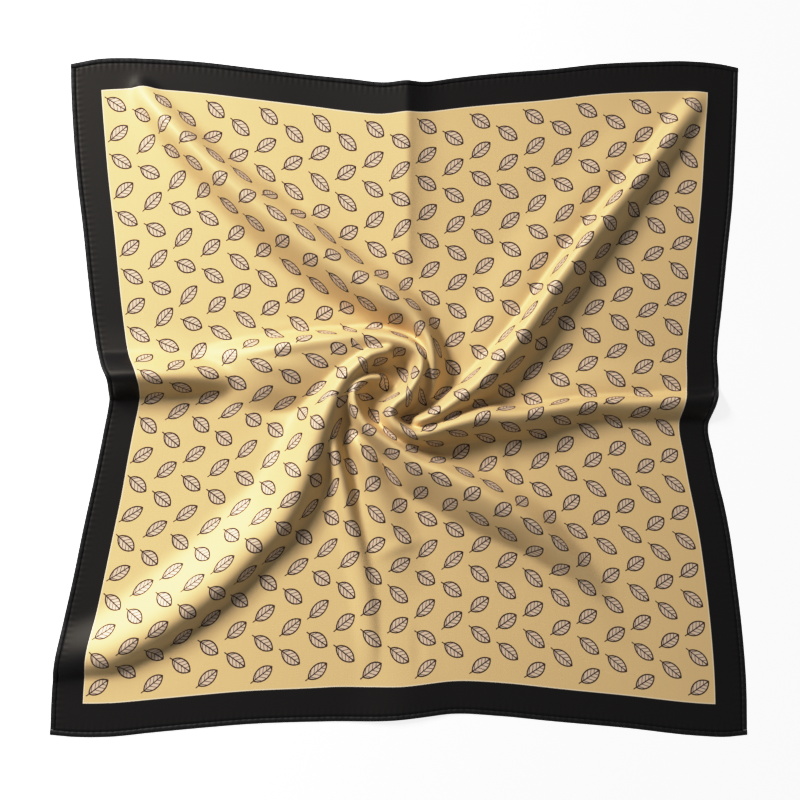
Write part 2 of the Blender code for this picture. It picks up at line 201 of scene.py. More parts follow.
LEFT_FOLD = fold_of(
    (-345, 12, 22, 27, 20), (-290, 12, 26.5, 27, 20), (-259, 13, 28.5, 26, 20),
    (-231, 13, 27.5, 24, 20), (-201, 13, 21, 21, 19), (-176, 12, 12, 19, 18),
    (-152, 10, 0, 16, 16),
    tails=(1.8, 1.3),
)
FRONT_LEFT_FOLD = fold_of(
    (-346, -274, 5, 38, 15), (-314, -267, 11, 46, 17), (-286, -262, 15.5, 50, 18),
    (-259, -249, 17.5, 54, 19), (-227, -230, 19.5, 58, 20), (-198, -209, 20, 60, 20),
    (-169, -185, 20, 60, 19), (-144, -159, 20, 60, 19), (-121, -136, 22, 56, 19),
    (-106, -112, 24, 52, 20), (-95, -87, 26, 48, 20), (-85, -60, 28, 42, 20),
    (-77, -35, 31, 34, 20), (-67, -10, 31, 27, 19), (-56, 9, 32, 20, 17),
    (-43, 22, 32, 16, 14), (-29, 33, 31, 13, 13), (-13, 38, 28, 10, 12),
    tails=(2.5, 1.3),
)
FRONT_RIGHT_FOLD = fold_of(
    (204, -204, 0, 12, 12), (188, -188, 7, 13, 14), (169, -170, 15, 17, 18),
    (149, -152, 23, 23, 23), (129, -135, 29, 28, 27), (108, -121, 33, 33, 29),
    (85, -107, 35.5, 36, 28), (62, -94, 35.5, 37, 24), (42, -84, 34, 35, 20),
    (16, -73, 31, 31, 17), (-6, -58, 30, 20, 15), (-22, -47, 30, 16, 13),
    (-34, -37, 30, 14, 12), (-42, -24, 30, 12, 11), (-46, -11, 29, 12, 11),
    (-43, 2, 28, 12, 10), (-33, 9, 25, 11, 10), (-21, 10, 21, 10, 10),
    tails=(1.2, 2.0), crest=1.5,
)
FRONT_NARROW_FOLD = fold_of(
    (-26, -290, 0, 18, 10), (-28, -267, 2.0, 18, 10), (-32, -223, 4, 18, 10),
    (-38, -182, 6, 17, 10), (-44, -154, 8.5, 16, 10), (-52, -125, 12, 15, 11),
    (-60, -84, 17, 12, 11), (-64, -66, 20, 11, 10), (-67, -46, 18, 10, 10),
    (-69, -30, 12, 9, 9),
    tails=(1.8, 1.4),
)
FRONT_SOFT_FOLD = fold_of(
    (4, -186, 0, 32, 30), (-9, -137, 7, 28, 28), (-26, -92, 14, 18, 24),
    (-35, -69, 18, 14, 21), (-43, -54, 16, 12, 16), (-49, -41, 8, 12, 10),
    tails=(2.0, 2.0),
)
FRONT_EDGE_RISE = fold_of(
    (0, -360, 5.0, 70, 74), (0, -325, 4.4, 66, 70), (-1, -290, 2.6, 56, 60),
    (-2, -236, 0, 46, 50),
    tails=(3.0, 3.0),
)
# The crease that the scarf's folded package left, standing up a little at the back edge.
PACKAGE_CREASE = fold_of(
    (8, 350, 9.5, 46, 120), (8, 312, 9.5, 46, 120), (8, 250, 9.0, 46, 112),
    (8, 180, 7.8, 42, 94), (8, 125, 4.2, 30, 56), (8, 104, 0, 22, 30),
    tails=(3.0, 2.0), crest=1.0,
)
FOLDS = (
    BACK_LEFT_FOLD, BACK_RIGHT_FOLD, THROUGH_FOLD, LEFT_FOLD, FRONT_LEFT_FOLD,
    FRONT_RIGHT_FOLD, FRONT_NARROW_FOLD, FRONT_SOFT_FOLD, FRONT_EDGE_RISE, PACKAGE_CREASE,
)

# Small creases and swells between the folds, and hollows, whose heights are below 0.
CREASES = (
    # The valley along the back of the fold that runs out to the left.
    fold_of(
        (-150, 53, 0, 8, 8), (-110, 57, -2.2, 9, 8), (-60, 61, -2.6, 9, 8),
        (-25, 62, -1.8, 8, 7), (0, 58, 0, 7, 7),
        tails=(2.0, 2.0),
    ),
    # Low swells beside the back-right and the right fold: each drops to the fold's foot.
    fold_of(
        (276, 305, 0, 12, 24), (227, 245, 2.6, 14, 34), (173, 180, 3.8, 15, 42),
        (125, 115, 4.0, 15, 44), (99, 77, 3.6, 15, 38), (76, 47, 2.6, 13, 30),
        (58, 22, 0, 10, 20),
        tails=(1.4, 2.4),
    ),
    fold_of(
        (300, 10, 0, 10, 26), (250, 7, 2.6, 12, 30), (200, 5, 3.8, 13, 32),
        (155, -1, 3.8, 13, 30), (120, -8, 2.6, 12, 24), (98, -11, 0, 10, 16),
        tails=(1.4, 2.4),
    ),
    # The sharp crest of the fold that runs out to the left.
    fold_of(
        (-160, 35, 0, 9, 7), (-132, 39, 1.8, 10, 8), (-101, 44, 2.8, 10, 9),
        (-64, 49, 2.4, 10, 9), (-34, 52, 0, 9, 8),
        tails=(2.0, 1.6),
    ),
    # A faint line along the foot of the left fold.
    fold_of(
        (-268, 39, 0, 8, 6), (-250, 35, 1.0, 9, 6), (-215, 29, 1.0, 9, 6), (-195, 26, 0, 8, 6),
        tails=(2.0, 1.4),
    ),
    # The dimple where the left fold ends, and the small swell beside it.
    fold_of(
        (-146, -12, 0, 16, 14), (-124, -17, -2.6, 18, 15), (-100, -26, 0, 16, 14),
        tails=(2.0, 2.0),
    ),
    fold_of(
        (-146, 24, 0, 12, 12), (-120, 22, 1.8, 14, 12), (-92, 14, 0, 12, 12),
        tails=(2.0, 2.0),
    ),
    # Across the back-left fold, where it was pressed together.
    fold_of(
        (-134, 214, 0, 9, 8), (-122, 200, -1.4, 12, 9), (-104, 186, -1.4, 12, 9),
        (-88, 170, 0, 9, 8),
        tails=(2.0, 1.5),
    ),
    # Two short wrinkles in front of the whirl.
    fold_of(
        (-28, -166, 0, 9, 7), (-10, -159, 1.4, 10, 7), (8, -153, 1.4, 10, 7),
        (24, -149, 0, 9, 7),
        tails=(2.0, 1.4),
    ),
    fold_of(
        (19, -282, 0, 8, 10), (18, -268, -0.6, 9, 10), (17, -245, -0.6, 9, 10),
        (16, -228, 0, 8, 10),
        tails=(1.6, 2.0),
    ),
    # A side wrinkle running down from the right fold.
    fold_of(
        (108, -86, 0, 12, 9), (100, -70, 1.8, 13, 10), (93, -54, 2.0, 12, 10),
        (86, -42, 0, 10, 10),
        tails=(2.0, 1.6),
    ),
    # The front-right fold's soft tail.
    fold_of(
        (226, -248, 0, 16, 16), (198, -217, 1.6, 20, 16), (172, -190, 2.0, 20, 14),
        (150, -166, 0, 16, 12),
        tails=(2.0, 2.0),
    ),
)


# ---- The surface that the cloth lies on ----


def smooth_through(knots: Sequence[float] | Array, values: Any, at: Array) -> Array:
    """Read the smooth curve through rows of values.

    Args:
        knots: the rows' rising places, shape (n,).
        values: the rows, shape (n, columns).
        at: the places to read, shape (m,).

    Returns:
        The values there, shape (m, columns).
    """
    knots = np.asarray(knots, float)
    values = np.asarray(values, float)
    slopes = np.gradient(values, knots, axis=0)
    i = np.clip(np.searchsorted(knots, at, side="right") - 1, 0, len(knots) - 2)
    span = (knots[i + 1] - knots[i])[:, None]
    t = (np.asarray(at, float) - knots[i])[:, None] / span
    return (
        (2 * t**3 - 3 * t**2 + 1) * values[i]
        + (t**3 - 2 * t**2 + t) * span * slopes[i]
        + (3 * t**2 - 2 * t**3) * values[i + 1]
        + (t**3 - t**2) * span * slopes[i + 1]
    )


def between(corners: Sequence[Array], a: Array, b: Array) -> Array:
    """Blend what stands at the four corners of a cell.

    Args:
        corners: the values at the front left, front right, back left and back right.
        a: the share of the way to the right.
        b: the share of the way to the back.

    Returns:
        The values there.
    """
    front_left, front_right, back_left, back_right = corners
    front = (1 - a) * (1 - b) * front_left + a * (1 - b) * front_right
    return front + (1 - a) * b * back_left + a * b * back_right


def length_along(points: Array) -> Array:
    """Return how far along its own line each point lies, from 0 at the first."""
    steps = np.linalg.norm(np.diff(points, axis=0), axis=1)
    return np.concatenate(([0.0], np.cumsum(steps)))


@dataclass
class FoldedSurface:
    """The surface of folds, kept as a fine square grid of heights.

    Attributes:
        folds: the raised folds. Where they meet, the higher one wins.
        creases: small creases and hollows, added to what the folds make.
        reach: how far the grid runs from the middle, each way.
        step: the grid's spacing.
        softness: how far the sharpest lines are softened.
        meeting_power: how sharply the higher of two folds wins.
        crest_step: how finely a crest is followed.
        skirt_reach: the cloth starts to rise this many flank widths away from a fold.
        skirt_share: the share of a fold's height that this slow rise makes.
        skirt_tail: how softly it runs out.
        whirl: where the whirl's middle lies.
        mound_height: how high the cloth stands off the floor round the whirl.
        mound_radius: how far that mound reaches.
    """

    folds: tuple[Fold, ...] = FOLDS
    creases: tuple[Fold, ...] = CREASES
    reach: float = 372.0
    step: float = 1.5
    softness: float = 1.6
    meeting_power: float = 5.0
    crest_step: float = 3.0
    skirt_reach: float = 2.4
    skirt_share: float = 0.15
    skirt_tail: float = 3.0
    whirl: tuple[float, float] = (-4.0, 2.0)
    mound_height: float = 7.0
    mound_radius: float = 120.0
    grid: Array = field(init=False, repr=False)

    def __post_init__(self) -> None:
        """Work out the grid of heights and slopes."""
        count = int(2 * self.reach / self.step) + 1
        line = np.linspace(-self.reach, self.reach, count)
        self.step = line[1] - line[0]
        x, y = np.meshgrid(line, line, indexing="ij")
        height = self.soften(self.measure(x, y))
        slope_x, slope_y = np.gradient(height, self.step)
        self.grid = np.stack((height, slope_x, slope_y), axis=-1)

    def fold_height(self, fold: Fold, x: Array, y: Array) -> Array:
        """Work out how high one fold lifts the cloth at each place.

        Args:
            fold: the fold, or the crease.
            x: the places' way to the right.
            y: their way to the back, of the same shape.

        Returns:
            The heights there, below 0 for a hollow.
        """
        table = np.array(fold.rows, float)
        knots = length_along(table[:, :2])
        places = np.linspace(0.0, knots[-1], int(knots[-1] / self.crest_step) + 2)
        crest = smooth_through(knots, table, places)
        sign = 1.0 if table[:, 2].max() > 0.0 else -1.0
        reach = crest[:, 3:].max() * self.skirt_reach + self.crest_step
        lift = np.zeros_like(x)
        for near, far in zip(crest[:-1], crest[1:]):
            run = far[:2] - near[:2]
            close = (abs(x - near[0]) < reach) & (abs(y - near[1]) < reach)
            dx, dy = x[close] - near[0], y[close] - near[1]
            t = np.clip((dx * run[0] + dy * run[1]) / (run @ run), 0.0, 1.0)
            away = np.hypot(dx - t * run[0], dy - t * run[1])
            across = np.linalg.norm(run) * np.maximum(away, TINY)
            share = (1 + np.clip((run[0] * dy - run[1] * dx) / across, -1, 1)) / 2
            height, left, right = (near[2:] + (far - near)[2:] * t[:, None]).T
            width = right + (left - right) * share
            tail = fold.right_tail + (fold.left_tail - fold.right_tail) * share
            flank = np.maximum(1 - (away / width) ** fold.crest, 0.0) ** tail
            skirt = np.maximum(1 - (away / (self.skirt_reach * width)) ** 2, 0.0)
            profile = (1 - self.skirt_share) * flank + self.skirt_share * skirt**self.skirt_tail
            lift[close] = np.maximum(lift[close], np.maximum(sign * height, 0) * profile)
        return sign * lift

    def measure(self, x: Array, y: Array) -> Array:
        """Put folds, mound and creases together.

        Args:
            x: the places' way to the right.
            y: their way to the back, of the same shape.

        Returns:
            The cloth's heights there.
        """
        power = self.meeting_power
        total = sum(self.fold_height(fold, x, y) ** power for fold in self.folds)
        out = np.hypot(x - self.whirl[0], y - self.whirl[1]) / self.mound_radius
        mound = self.mound_height * np.cos(math.pi / 2 * np.minimum(out, 1.0)) ** 2
        extra = sum(self.fold_height(crease, x, y) for crease in self.creases)
        return np.maximum(total ** (1 / power) + mound + extra, 0.0)

    def soften(self, height: Array) -> Array:
        """Round the sharpest lines by a bell-shaped average.

        Args:
            height: the grid of heights.

        Returns:
            The softened grid.
        """
        half = int(math.ceil(3 * self.softness / self.step))
        offsets = np.arange(-half, half + 1) * self.step
        bell = np.exp(-0.5 * (offsets / self.softness) ** 2)
        bell /= bell.sum()
        for axis in (0, 1):
            margins = [(half, half) if a == axis else (0, 0) for a in (0, 1)]
            padded = np.pad(height, margins, "edge")
            count = height.shape[axis]
            height = sum(
                share * np.take(padded, np.arange(i, i + count), axis=axis)
                for i, share in enumerate(bell)
            )
        return height

    def read(self, plan: Array) -> tuple[Array, Array]:
        """Read the surface at places in plan.

        Args:
            plan: the places, shape (..., 2).

        Returns:
            The heights, shape (...), and the slopes along x and y, shape (..., 2).
        """
        last = len(self.grid) - 1.001
        spot = np.clip((plan + self.reach) / self.step, 0.0, last)
        low = spot.astype(int)
        part = spot - low
        i, j = low[..., 0], low[..., 1]
        grid = self.grid
        corners = (grid[i, j], grid[i + 1, j], grid[i, j + 1], grid[i + 1, j + 1])
        found = between(corners, part[..., 0:1], part[..., 1:2])
        return found[..., 0], found[..., 1:]

    def places(self, plan: Array) -> Array:
        """Return places in plan with the surface's height there, shape (..., 3)."""
        height, _ = self.read(plan)
        return np.concatenate((plan, height[..., None]), axis=-1)


class Side(Enum):
    """One side of the square: its two corners, its table, and the way in from it."""

    BACK = (BACK_LEFT, BACK_RIGHT, BACK_EDGE, -1)
    FRONT = (FRONT_LEFT, FRONT_RIGHT, FRONT_EDGE, 1)
    LEFT = (BACK_LEFT, FRONT_LEFT, LEFT_EDGE, 1)
    RIGHT = (BACK_RIGHT, FRONT_RIGHT, RIGHT_EDGE, -1)

    def straight(self, fraction: Array) -> Array:
        """Find places on the side as it lies, drawn in by its dents.

        Args:
            fraction: how far along the straight line between the corners each lies, shape (n,).

        Returns:
            The places in plan, shape (n, 2).
        """
        start, end, rows, inward = self.value
        start, end = np.array(start), np.array(end)
        length = np.linalg.norm(end - start)
        along = np.clip(fraction, 0.0, 1.0) * length
        dent = smooth_through([r.along for r in rows], [[r.dent] for r in rows], along)
        way = (end - start) / length
        normal = np.array((-way[1], way[0])) * inward
        return start + along[:, None] * way + dent * normal


@dataclass
class Outline:
    """The outline of the hemmed square, where it lies.

    Attributes:
        surface: the surface that it lies on.
        samples: how many places an edge is measured at.
    """

    surface: FoldedSurface
    samples: int = 1200
    measured: dict[Side, tuple[Array, Array]] = field(init=False, repr=False)

    def __post_init__(self) -> None:
        """Measure each edge along its own curve, up and down over the folds."""
        even = np.linspace(0.0, 1.0, self.samples)
        self.measured = {}
        for side in Side:
            along = length_along(self.surface.places(side.straight(even)))
            self.measured[side] = (along / along[-1], even)

    def edge(self, side: Side, share: Array) -> Array:
        """Return the places at shares of an edge's own length."""
        return side.straight(np.interp(share, *self.measured[side]))

    def inside(self, u: Array, v: Array) -> Array:
        """Return places inside the outline, blended between its four edges.

        Args:
            u: the way from the left edge, 0, to the right one, 1.
            v: the way from the front edge, 0, to the back one, 1.

        Returns:
            The places in plan, shape (..., 2).
        """
        u, v = np.broadcast_arrays(np.asarray(u, float), np.asarray(v, float))
        shape = u.shape
        u, v = u.ravel(), v.ravel()
        back, front = self.edge(Side.BACK, u), self.edge(Side.FRONT, u)
        left, right = self.edge(Side.LEFT, 1 - v), self.edge(Side.RIGHT, 1 - v)
        u, v = u[:, None], v[:, None]
        corners = between(np.array((FRONT_LEFT, FRONT_RIGHT, BACK_LEFT, BACK_RIGHT)), u, v)
        blend = (1 - v) * front + v * back + (1 - u) * left + u * right - corners
        return blend.reshape(*shape, 2)


# ---- Nodes ----


class Wiring:
    """Places and joins the nodes of one tree."""

    def __init__(self, tree: bpy.types.NodeTree) -> None:
        """Start on a tree."""
        self.tree = tree

    def feed(self, socket: Socket, value: Any) -> None:
        """Join a socket to another one, or give it a plain value.

        Args:
            socket: the input.
            value: another node's output, or the value.
        """
        if isinstance(value, bpy.types.NodeSocket):
            self.tree.links.new(value, socket)
        else:
            socket.default_value = value

    def node(self, kind: str, fed: Fed | None = None, **settings: Any) -> bpy.types.Node:
        """Place a node, set its options and feed its inputs.

        Args:
            kind: the node's type.
            fed: what its inputs are fed, by name or number.
            **settings: its options.

        Returns:
            The node.
        """
        made = self.tree.nodes.new(kind)
        for name, value in settings.items():
            setattr(made, name, value)
        for key, value in (fed or {}).items():
            self.feed(made.inputs[key], value)
        return made

    def calculate(self, operation: str, *values: Any, clamp: bool = False) -> Socket:
        """Return the result of a Math node."""
        fed = dict(enumerate(values))
        return self.node("ShaderNodeMath", fed, operation=operation, use_clamp=clamp).outputs[0]

    # The operations that are used often, each under a short name.
    plus = partialmethod(calculate, "ADD")
    minus = partialmethod(calculate, "SUBTRACT")
    times = partialmethod(calculate, "MULTIPLY")
    over = partialmethod(calculate, "DIVIDE")
    times_plus = partialmethod(calculate, "MULTIPLY_ADD")
    least = partialmethod(calculate, "MINIMUM")
    most = partialmethod(calculate, "MAXIMUM")
    floor = partialmethod(calculate, "FLOOR")
    modulo = partialmethod(calculate, "FLOORED_MODULO")
    absolute = partialmethod(calculate, "ABSOLUTE")
    sine = partialmethod(calculate, "SINE")
    cosine = partialmethod(calculate, "COSINE")

    def within(self, distance: Any, limit: Any, blur: Any) -> Socket:
        """Return a mask of 1 where a distance is under a limit, fading over a blur."""
        return self.plus(self.over(self.minus(limit, distance), blur), 0.5, clamp=True)

    def to_edge(self, place: Any, side: Any) -> Socket:
        """Return how far a place is from the nearer one of a square's two edges."""
        return self.least(place, self.minus(side, place))

    def split(self, vector: Any) -> tuple[Socket, Socket]:
        """Return a vector's first two parts."""
        parts = self.node("ShaderNodeSeparateXYZ", {0: vector}).outputs
        return parts[0], parts[1]

    def noise(self, vector: Any, scale: Any, detail: float = 2.0) -> Socket:
        """Return a soft noise on a vector, from about -0.5 to 0.5."""
        fed = {"Vector": vector, "Scale": scale, "Detail": detail}
        return self.minus(self.node("ShaderNodeTexNoise", fed).outputs[0], 0.5)

    def mix(self, share: Any, first: Any, second: Any) -> Socket:
        """Return one colour mixed into another by a share."""
        fed = {"Factor": share, MIX_FIRST: first, MIX_SECOND: second}
        return self.node("ShaderNodeMix", fed, data_type="RGBA").outputs[MIX_RESULT]

    def toned(self, colour: Any, tone: Socket, variation: float) -> Socket:
        """Return a colour that grows lighter and darker with a tone."""
        fed = {"Value": self.times_plus(tone, variation, 1.0), "Color": colour}
        return self.node("ShaderNodeHueSaturation", fed).outputs[0]

    def bump(self, depth: float, height: Socket, **more: Socket) -> Socket:
        """Return the normal of a surface that rises by a depth where the height is 1."""
        fed = {"Strength": 1.0, "Distance": depth, "Height": height, **more}
        return self.node("ShaderNodeBump", fed).outputs[0]


@dataclass(frozen=True)
class Effect:
    """A shader node group that several finishes share.

    Attributes:
        name: the group's name.
        wire: places its nodes, and returns what each of its outputs gives.
        sizes: its inputs' first values, in metres or as shares.
    """

    name: str
    wire: Callable[[Wiring, Any], Fed]
    sizes: dict[str, float]

    def group(self) -> bpy.types.NodeTree:
        """Return the group, made on its first use."""
        found = bpy.data.node_groups.get(self.name)
        if found:
            return found
        tree = bpy.data.node_groups.new(self.name, "ShaderNodeTree")
        face = tree.interface
        face.new_socket("Cloth", in_out="INPUT", socket_type="NodeSocketVector")
        for name, value in self.sizes.items():
            size = face.new_socket(name, in_out="INPUT", socket_type="NodeSocketFloat")
            size.default_value = value
        wires = Wiring(tree)
        fed = self.wire(wires, wires.node("NodeGroupInput").outputs)
        for name in fed:
            face.new_socket(name, in_out="OUTPUT", socket_type="NodeSocketFloat")
        wires.node("NodeGroupOutput", fed)
        return tree

    def outputs(self, wires: Wiring, cloth: Socket) -> Any:
        """Place the group in a material, on its cloth, and return its outputs."""
        return wires.node("ShaderNodeGroup", {"Cloth": cloth}, node_tree=self.group()).outputs


def wire_border(wires: Wiring, given: Any) -> Fed:
    """Place the print's plain parts: the dark border, and the pale line inside it.

    Args:
        wires: the group's tree.
        given: the group's inputs.

    Returns:
        The masks Border and Line.
    """
    x, y = wires.split(given["Cloth"])
    near = wires.least(wires.to_edge(x, given["Side"]), wires.to_edge(y, given["Side"]))
    end = wires.plus(given["Border"], given["Line"])
    return {
        "Border": wires.within(near, given["Border"], given["Blur"]),
        "Line": wires.within(near, end, given["Blur"]),
    }


def wire_puckers(wires: Wiring, given: Any) -> Fed:
    """Place the puckers that the hem's stitches draw in the cloth beside it.

    Args:
        wires: the group's tree.
        given: the group's inputs.

    Returns:
        Their Height, from 0 to 1.
    """
    x, y = wires.split(given["Cloth"])
    turns = wires.over(math.tau, given["Pitch"])
    fade = wires.minus(given["Reach"], given["Start"])
    heights = []
    for along, across in ((y, x), (x, y)):
        near = wires.to_edge(across, given["Side"])
        wave = wires.cosine(wires.times(along, turns))
        heights.append(wires.times(wave, wires.within(near, given["Reach"], fade)))
    return {"Height": wires.times_plus(wires.plus(*heights), 0.5, 0.5)}


def wire_leaves(wires: Wiring, given: Any) -> Fed:
    """Place the field's print: small veined leaves, every second column half a pitch down.

    Args:
        wires: the group's tree.
        given: the group's inputs.

    Returns:
        The masks Lines and Fill.
    """
    x, y = wires.split(given["Cloth"])
    stroke, blur = given["Stroke"], given["Blur"]

    # Each leaf's cell: its column and row, and the place in it, from its middle.
    from_left = wires.over(wires.minus(x, given["Border"]), given["Across"])
    column = wires.floor(from_left)
    odd = wires.modulo(column, 2.0)
    from_front = wires.over(wires.minus(y, given["Border"]), given["Along"])
    from_front = wires.times_plus(odd, 0.5, from_front)
    row = wires.floor(from_front)
    here_x = wires.times(wires.minus(wires.minus(from_left, column), 0.5), given["Across"])
    here_y = wires.times(wires.minus(wires.minus(from_front, row), 0.5), given["Along"])

    # The leaves lean to the left and to the right by turns.
    lean = wires.times_plus(wires.modulo(row, 2.0), -2.0, 1.0)
    turn = wires.times(lean, given["Tilt"])
    cos, sin = wires.cosine(turn), wires.sine(turn)
    along = wires.plus(wires.times(here_x, cos), wires.times(here_y, sin))
    across = wires.minus(wires.times(here_y, cos), wires.times(here_x, sin))
    off_rib = wires.absolute(across)

    # The blade lies between two arcs through its tips.
    half_length = wires.times(given["Length"], 0.5)
    half_width = wires.times(given["Width"], 0.5)
    squares = wires.times_plus(half_width, half_width, wires.times(half_length, half_length))
    radius = wires.over(squares, given["Width"])
    to_side = wires.plus(off_rib, wires.minus(radius, half_width))
    reach = wires.times_plus(to_side, to_side, wires.times(along, along))
    from_arc = wires.minus(wires.calculate("SQRT", reach), radius)
    fill = wires.within(from_arc, 0.0, blur)
    rim = wires.within(wires.absolute(from_arc), wires.times(stroke, 0.5), blur)

    # The rib runs on past the blade as a stalk, and slanting veins leave it.
    rib = wires.within(off_rib, wires.times(stroke, given["Rib"]), blur)
    rib = wires.times(rib, wires.within(along, half_length, blur))
    stalk_end = wires.times(half_length, given["Stalk"])
    rib = wires.times(rib, wires.within(wires.times(along, -1.0), stalk_end, blur))
    slant = wires.minus(along, wires.times(off_rib, given["Slant"]))
    half_pitch = wires.times(wires.times(given["Length"], given["Vein pitch"]), 0.5)
    vein = wires.calculate("PINGPONG", slant, half_pitch)
    veins = wires.times(wires.within(vein, wires.times(stroke, given["Vein"]), blur), fill)
    lines = wires.most(wires.most(rim, rib), veins)

    # A leaf that the border would cut is left out.
    middle = wires.minus(wires.plus(row, 0.5), wires.times(odd, 0.5))
    middle_y = wires.times_plus(middle, given["Along"], given["Border"])
    margin = wires.plus(given["Border"], wires.times(given["Along"], given["Margin"]))
    uncut = wires.calculate("GREATER_THAN", wires.to_edge(middle_y, given["Side"]), margin)
    return {"Lines": wires.times(lines, uncut), "Fill": wires.times(fill, uncut)}


def wire_weave(wires: Wiring, given: Any) -> Fed:
    """Place the satin's surface: long floats along the cloth, uneven yarns, faint slubs.

    Args:
        wires: the group's tree.
        given: the group's inputs.

    Returns:
        The Height, from about 0 to 1, and the Tone, about 0.
    """
    x, y = wires.split(given["Cloth"])

    # Five-step satin: each yarn floats over four and dips under one, one step on from the last.
    turns = wires.over(math.tau, given["Yarn"])
    yarns = wires.sine(wires.times(x, turns))
    step = wires.times(wires.times_plus(y, given["Step"], x), turns)
    floats = wires.times(yarns, wires.sine(step))

    # Yarns thicken and thin along their length.
    spread = {0: wires.times(x, given["Slubs across"]), 1: wires.times(y, given["Slubs along"])}
    slubs = wires.noise(wires.node("ShaderNodeCombineXYZ", spread).outputs[0], 1.0)
    fine = wires.times_plus(floats, given["Float"], 0.5)
    clouds = wires.noise(given["Cloth"], given["Clouds"], detail=3.0)
    return {
        "Height": wires.times_plus(slubs, given["Slub"], fine),
        "Tone": wires.times_plus(clouds, given["Cloudiness"], wires.times(slubs, given["Grain"])),
    }


PRINTED_BORDER = Effect(
    "printed border",
    wire_border,
    {"Side": 0.69, "Border": 0.031, "Line": 0.001, "Blur": 0.0004},
)
HEM_PUCKERS = Effect(
    "hem puckers",
    wire_puckers,
    {"Side": 0.69, "Pitch": 0.006, "Start": 0.004, "Reach": 0.011},
)
LEAF_PRINT = Effect(
    "leaf print",
    wire_leaves,
    {
        "Side": 0.69, "Border": 0.032, "Across": 0.0272, "Along": 0.02845, "Margin": 0.35,
        "Length": 0.0218, "Width": 0.0120, "Tilt": 0.62, "Stroke": 0.0012, "Blur": 0.00035,
        "Rib": 0.42, "Stalk": 1.32, "Vein": 0.3, "Vein pitch": 0.2, "Slant": 0.9,
    },
)
SATIN_WEAVE = Effect(
    "satin weave",
    wire_weave,
    {
        "Yarn": 0.0005, "Step": 0.2, "Float": 0.25, "Slub": 0.35, "Slubs across": 900.0,
        "Slubs along": 60.0, "Clouds": 9.0, "Cloudiness": 0.5, "Grain": 0.35,
    },
)


# ---- Finishes ----


@dataclass(frozen=True)
class Finish:
    """A material's looks.

    Attributes:
        name: the material's name.
    """

    name: str

    def shading(self, wires: Wiring) -> Fed:
        """Place the finish's nodes, and return what each input of the shader is fed."""
        raise NotImplementedError

    def material(self) -> bpy.types.Material:
        """Return the material, made on its first use."""
        found = bpy.data.materials.get(self.name)
        if found:
            return found
        made = bpy.data.materials.new(self.name)
        made.use_nodes = True
        wires = Wiring(made.node_tree)
        shader = made.node_tree.nodes["Principled BSDF"]
        for name, value in self.shading(wires).items():
            wires.feed(shader.inputs[name], value)
        return made


@dataclass(frozen=True)
class PrintedSatin(Finish):
    """Printed satin, with its face or its reverse showing.

    Attributes:
        ground: the field's colour.
        border: the border's colour.
        line: the pale line's colour.
        ink: the leaves' lines.
        leaf: the leaves' fill.
        tint: the colour of its shine.
        depth: how strongly the print shows, which is less on the reverse.
        roughness: the satin's roughness.
        border_roughness: the roughness where the cloth is printed dark.
        unevenness: how much the roughness varies over the cloth.
        metal: the share of light that the floats throw back in the cloth's own colour.
        shine: how strongly its surface throws back light.
        weave: the height of the weave, in metres.
        pucker: the height of the puckers beside the hems, in metres.
        variation: how much the tone varies over the cloth.
    """

    ground: Colour = (0.72, 0.528, 0.268, 1.0)
    border: Colour = (0.0100, 0.0094, 0.0104, 1.0)
    line: Colour = (0.80, 0.68, 0.50, 1.0)
    ink: Colour = (0.040, 0.018, 0.012, 1.0)
    leaf: Colour = (0.68, 0.53, 0.40, 1.0)
    tint: Colour = (1.0, 0.90, 0.74, 1.0)
    depth: float = 1.0
    roughness: float = 0.52
    border_roughness: float = 0.50
    unevenness: float = 0.1
    metal: float = 0.08
    shine: float = 0.2
    weave: float = 0.00002
    pucker: float = 0.00011
    variation: float = 0.14

    def shading(self, wires: Wiring) -> Fed:
        """Place the print's and the weave's nodes.

        Args:
            wires: the material's tree.

        Returns:
            What each input of the shader is fed.
        """
        cloth = wires.node("ShaderNodeUVMap", uv_map=UV_LAYER).outputs[0]
        border, leaves, weave, puckers = (
            effect.outputs(wires, cloth)
            for effect in (PRINTED_BORDER, LEAF_PRINT, SATIN_WEAVE, HEM_PUCKERS)
        )
        colour = self.ground
        for mask, layer in (
            (wires.times(leaves["Fill"], self.depth), self.leaf),
            (wires.times(leaves["Lines"], self.depth), self.ink),
            (border["Line"], self.line),
            (border["Border"], self.border),
        ):
            colour = wires.mix(mask, colour, layer)
        change = self.border_roughness - self.roughness
        rough = wires.times_plus(border["Border"], change, self.roughness)
        woven = wires.bump(self.weave, weave["Height"])
        return {
            "Base Color": wires.toned(colour, weave["Tone"], self.variation),
            "Roughness": wires.times_plus(weave["Tone"], self.unevenness, rough),
            "Normal": wires.bump(self.pucker, puckers["Height"], Normal=woven),
            "Metallic": self.metal,
            "Specular IOR Level": self.shine,
            "Specular Tint": self.tint,
        }


@dataclass(frozen=True)
class HemSatin(Finish):
    """The hems' dark satin, and the thread that sews them.

    Attributes:
        colour: its colour.
        roughness: its roughness.
        unevenness: how much the roughness varies over the cloth.
        shine: how strongly its surface throws back light.
        weave: the height of its weave, in metres.
        variation: how much the tone varies over the cloth.
    """

    colour: Colour = (0.0090, 0.0085, 0.0094, 1.0)
    roughness: float = 0.55
    unevenness: float = 0.12
    shine: float = 0.2
    weave: float = 0.00003
    variation: float = 0.5

    def shading(self, wires: Wiring) -> Fed:
        """Place the weave's nodes.

        Args:
            wires: the material's tree.

        Returns:
            What each input of the shader is fed.
        """
        place = wires.node("ShaderNodeTexCoord").outputs["Object"]
        weave = SATIN_WEAVE.outputs(wires, place)
        return {
            "Base Color": wires.toned(self.colour, weave["Tone"], self.variation),
            "Roughness": wires.times_plus(weave["Tone"], self.unevenness, self.roughness),
            "Normal": wires.bump(self.weave, weave["Height"]),
            "Specular IOR Level": self.shine,
        }


